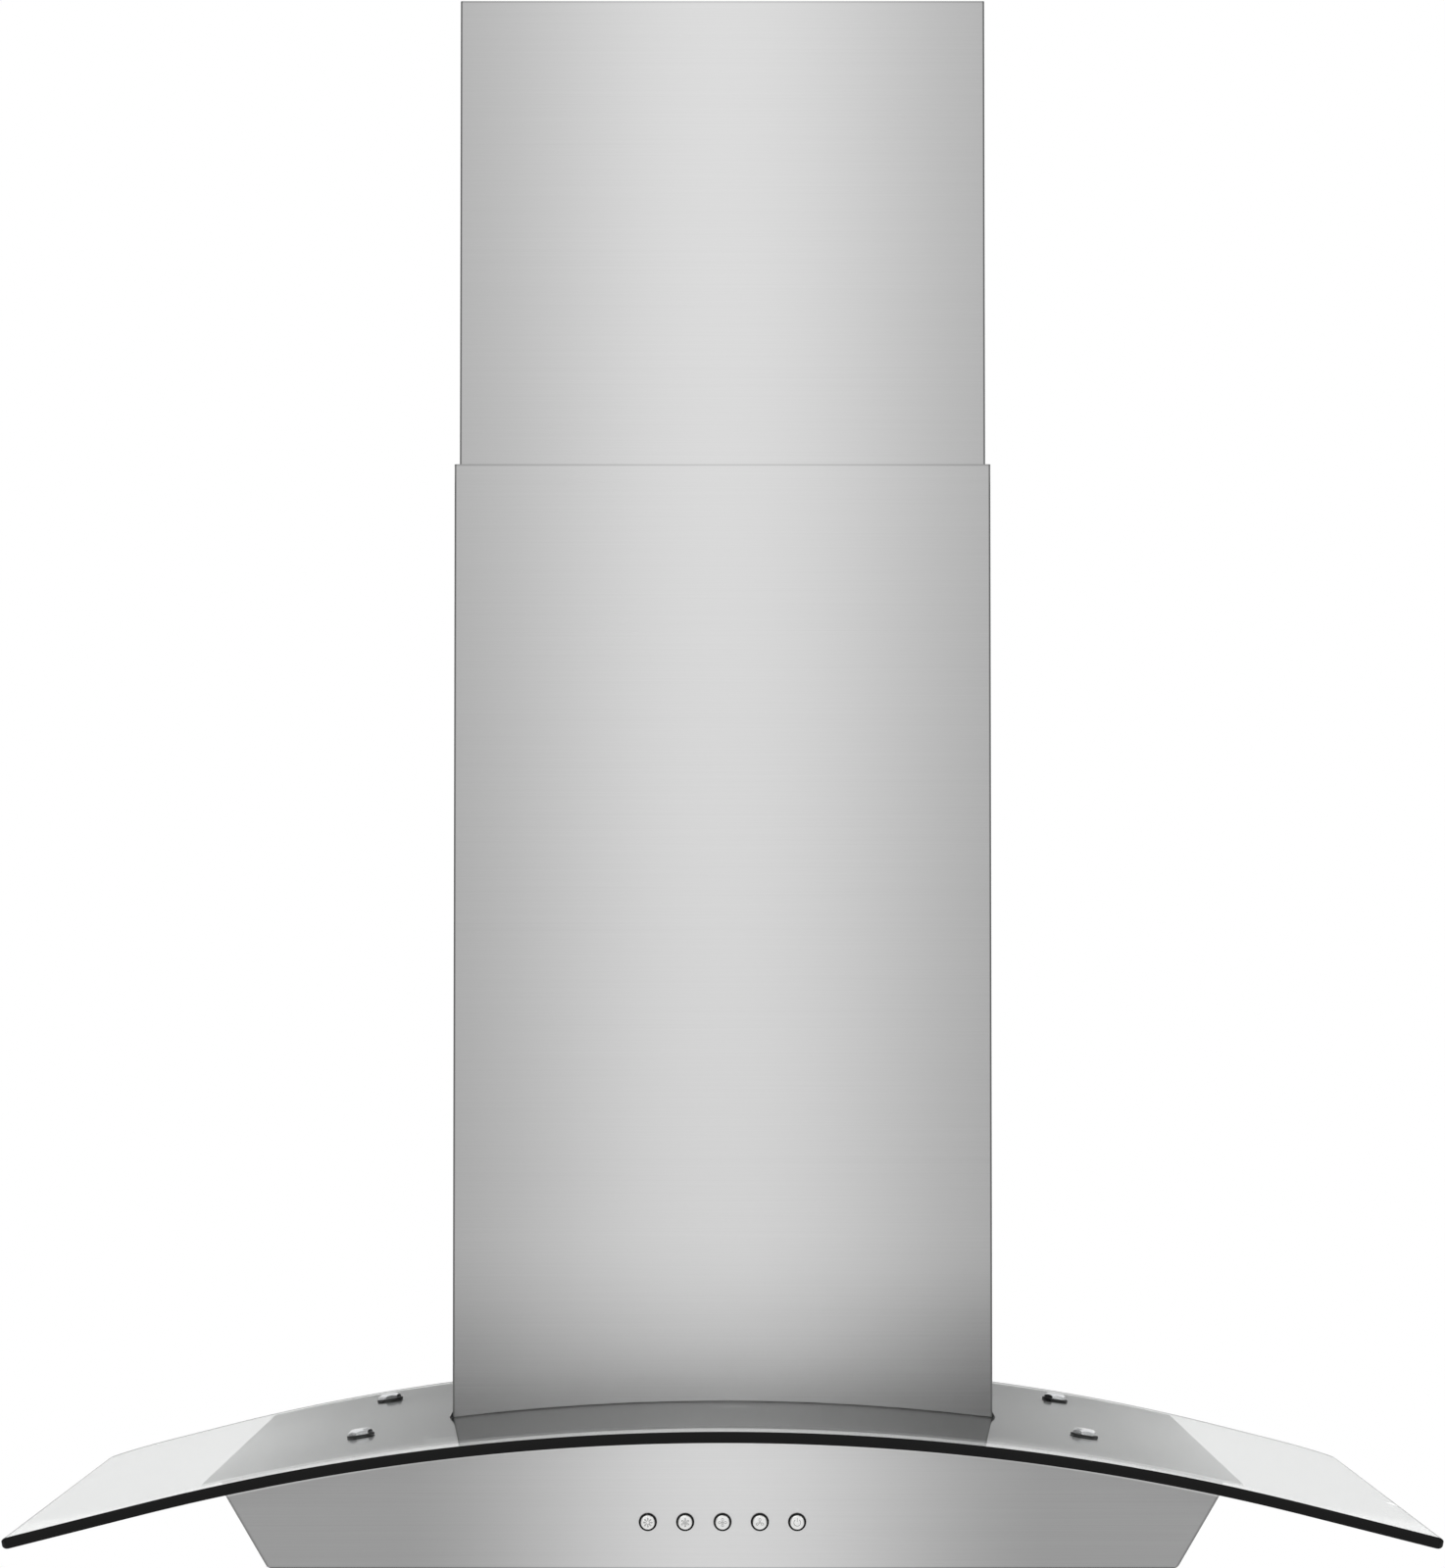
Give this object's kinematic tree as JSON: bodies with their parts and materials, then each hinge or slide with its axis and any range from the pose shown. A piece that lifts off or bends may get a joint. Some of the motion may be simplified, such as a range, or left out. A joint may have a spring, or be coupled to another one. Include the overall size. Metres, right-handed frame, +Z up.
{
  "type": "curved glass range hood",
  "caption": "Wall-mounted range hood with an arched glass canopy, shallow brushed steel body, telescoping square chimney, push buttons, lamps and swing-down baffle filters.",
  "frame": {"origin": "middle of the four wall screws of the hanging bracket, on the wall's surface", "axes": "+Z up, +Y into the wall, +X to the right as seen from the front; the hood stands in y < 0"},
  "size_m": [0.76, 0.5, 0.888],
  "materials": {
    "front_panel": "brushed stainless steel",
    "left_side_panel": "brushed stainless steel",
    "right_side_panel": "brushed stainless steel",
    "back_panel": "brushed stainless steel",
    "top_plate": "brushed stainless steel",
    "bottom_frame": "brushed stainless steel",
    "frame_screws": "zinc-plated steel",
    "glass_canopy": "clear tempered glass with black-printed front edge",
    "glass_bolts": "polished",
    "glass_washers_upper": "black rubber",
    "glass_washers_lower": "black rubber",
    "glass_nuts": "zinc-plated steel",
    "lower_chimney": "brushed stainless steel",
    "chimney_side_seals": "black rubber strip",
    "chimney_tabs": "galvanised steel sheet",
    "chimney_tab_screws": "polished",
    "upper_chimney": "brushed stainless steel",
    "chimney_bracket": "galvanised steel sheet",
    "chimney_bracket_screws": "polished",
    "wall_bracket": "galvanised steel sheet",
    "blower_box": "galvanised steel sheet",
    "blower_box_screws": "zinc-plated steel",
    "blower_scroll": "moulded black plastic",
    "impeller": "moulded grey plastic",
    "motor": "cast housing with windings inside",
    "motor_shaft": "ground steel",
    "motor_bracket": "galvanised steel sheet",
    "motor_bracket_screws": "zinc-plated steel",
    "capacitor": "white plastic can",
    "capacitor_clip": "galvanised steel sheet",
    "duct_collar": "galvanised steel sheet",
    "collar_screws": "zinc-plated steel",
    "damper_flap_front": "sheet",
    "damper_flap_rear": "sheet",
    "damper_pin": "ground steel",
    "junction_box": "galvanised steel sheet",
    "junction_cover": "galvanised steel sheet",
    "cable_gland": "black nylon",
    "lamp_driver": "white plastic",
    "control_lead": "black sheath",
    "lead_connector": "white nylon",
    "button_bezels": "black",
    "button_light": "satin silver cap with an engraved sign",
    "button_speed_high": "satin silver cap with an engraved sign",
    "button_speed_medium": "satin silver cap with an engraved sign",
    "button_speed_low": "satin silver cap with an engraved sign",
    "button_power": "satin silver cap with an engraved sign",
    "switch_housing": "black",
    "switch_board": "green circuit board",
    "housing_nuts": "zinc-plated steel",
    "left_lamp": "polished",
    "left_lamp_lens": "frosted",
    "right_lamp": "polished",
    "right_lamp_lens": "frosted",
    "left_filter_frame": "brushed stainless steel",
    "left_filter_baffles": "brushed stainless steel",
    "left_filter_handle": "polished",
    "right_filter_frame": "brushed stainless steel",
    "right_filter_baffles": "brushed stainless steel",
    "right_filter_handle": "polished"
  },
  "bodies": {
    "hood": {"front_panel": "front_panel", "left_side_panel": "left_side_panel", "right_side_panel": "right_side_panel", "back_panel": "back_panel", "top_plate": "top_plate", "bottom_frame": "bottom_frame", "frame_screws": "frame_screws", "glass_canopy": "glass_canopy", "glass_bolts": "glass_bolts", "glass_washers_upper": "glass_washers_upper", "glass_washers_lower": "glass_washers_lower", "glass_nuts": "glass_nuts", "lower_chimney": "lower_chimney", "chimney_side_seals": "chimney_side_seals", "chimney_tabs": "chimney_tabs", "chimney_tab_screws": "chimney_tab_screws", "wall_bracket": "wall_bracket", "blower_box": "blower_box", "blower_box_screws": "blower_box_screws", "blower_scroll": "blower_scroll", "motor": "motor", "motor_bracket": "motor_bracket", "motor_bracket_screws": "motor_bracket_screws", "capacitor": "capacitor", "capacitor_clip": "capacitor_clip", "duct_collar": "duct_collar", "collar_screws": "collar_screws", "damper_pin": "damper_pin", "junction_box": "junction_box", "junction_cover": "junction_cover", "cable_gland": "cable_gland", "lamp_driver": "lamp_driver", "control_lead": "control_lead", "lead_connector": "lead_connector", "button_bezels": "button_bezels", "switch_housing": "switch_housing", "switch_board": "switch_board", "housing_nuts": "housing_nuts", "left_lamp": "left_lamp", "left_lamp_lens": "left_lamp_lens", "right_lamp": "right_lamp", "right_lamp_lens": "right_lamp_lens"},
    "upper_chimney": {"upper_chimney": "upper_chimney", "chimney_bracket": "chimney_bracket", "chimney_bracket_screws": "chimney_bracket_screws"},
    "blower_wheel": {"impeller": "impeller", "motor_shaft": "motor_shaft"},
    "damper_front": {"damper_flap_front": "damper_flap_front"},
    "damper_rear": {"damper_flap_rear": "damper_flap_rear"},
    "light_button": {"button_light": "button_light"},
    "speed_high_button": {"button_speed_high": "button_speed_high"},
    "speed_medium_button": {"button_speed_medium": "button_speed_medium"},
    "speed_low_button": {"button_speed_low": "button_speed_low"},
    "power_button": {"button_power": "button_power"},
    "left_filter": {"left_filter_frame": "left_filter_frame", "left_filter_baffles": "left_filter_baffles", "left_filter_handle": "left_filter_handle"},
    "right_filter": {"right_filter_frame": "right_filter_frame", "right_filter_baffles": "right_filter_baffles", "right_filter_handle": "right_filter_handle"}
  },
  "joints": [
    {"name": "light_press", "type": "slide", "parent": "hood", "child": "light_button", "axis": [0, 1, 0], "range_m": [0, 0.0015], "stiffness_N_per_m": 400, "springref_m": -0.002},
    {"name": "speed_high_press", "type": "slide", "parent": "hood", "child": "speed_high_button", "axis": [0, 1, 0], "range_m": [0, 0.0015], "stiffness_N_per_m": 400, "springref_m": -0.002},
    {"name": "speed_medium_press", "type": "slide", "parent": "hood", "child": "speed_medium_button", "axis": [0, 1, 0], "range_m": [0, 0.0015], "stiffness_N_per_m": 400, "springref_m": -0.002},
    {"name": "speed_low_press", "type": "slide", "parent": "hood", "child": "speed_low_button", "axis": [0, 1, 0], "range_m": [0, 0.0015], "stiffness_N_per_m": 400, "springref_m": -0.002},
    {"name": "power_press", "type": "slide", "parent": "hood", "child": "power_button", "axis": [0, 1, 0], "range_m": [0, 0.0015], "stiffness_N_per_m": 400, "springref_m": -0.002},
    {"name": "chimney_slide", "type": "slide", "parent": "hood", "child": "upper_chimney", "axis": [0, 0, 1], "range_m": [-0.22, 0.13]},
    {"name": "left_filter_hinge", "type": "hinge", "parent": "hood", "child": "left_filter", "pos_m": [-0.108, -0.057, -0.261], "axis": [1, 0, 0], "range_deg": [0, 75]},
    {"name": "right_filter_hinge", "type": "hinge", "parent": "hood", "child": "right_filter", "pos_m": [0.108, -0.057, -0.261], "axis": [1, 0, 0], "range_deg": [0, 75]},
    {"name": "blower_spin", "type": "hinge", "parent": "hood", "child": "blower_wheel", "pos_m": [0, -0.118, -0.086], "axis": [1, 0, 0], "continuous": true},
    {"name": "damper_front_swing", "type": "hinge", "parent": "hood", "child": "damper_front", "pos_m": [0, -0.17, 0.067], "axis": [-1, 0, 0], "range_deg": [0, 75]},
    {"name": "damper_rear_swing", "type": "hinge", "parent": "hood", "child": "damper_rear", "pos_m": [0, -0.17, 0.067], "axis": [1, 0, 0], "range_deg": [0, 75]}
  ]
}
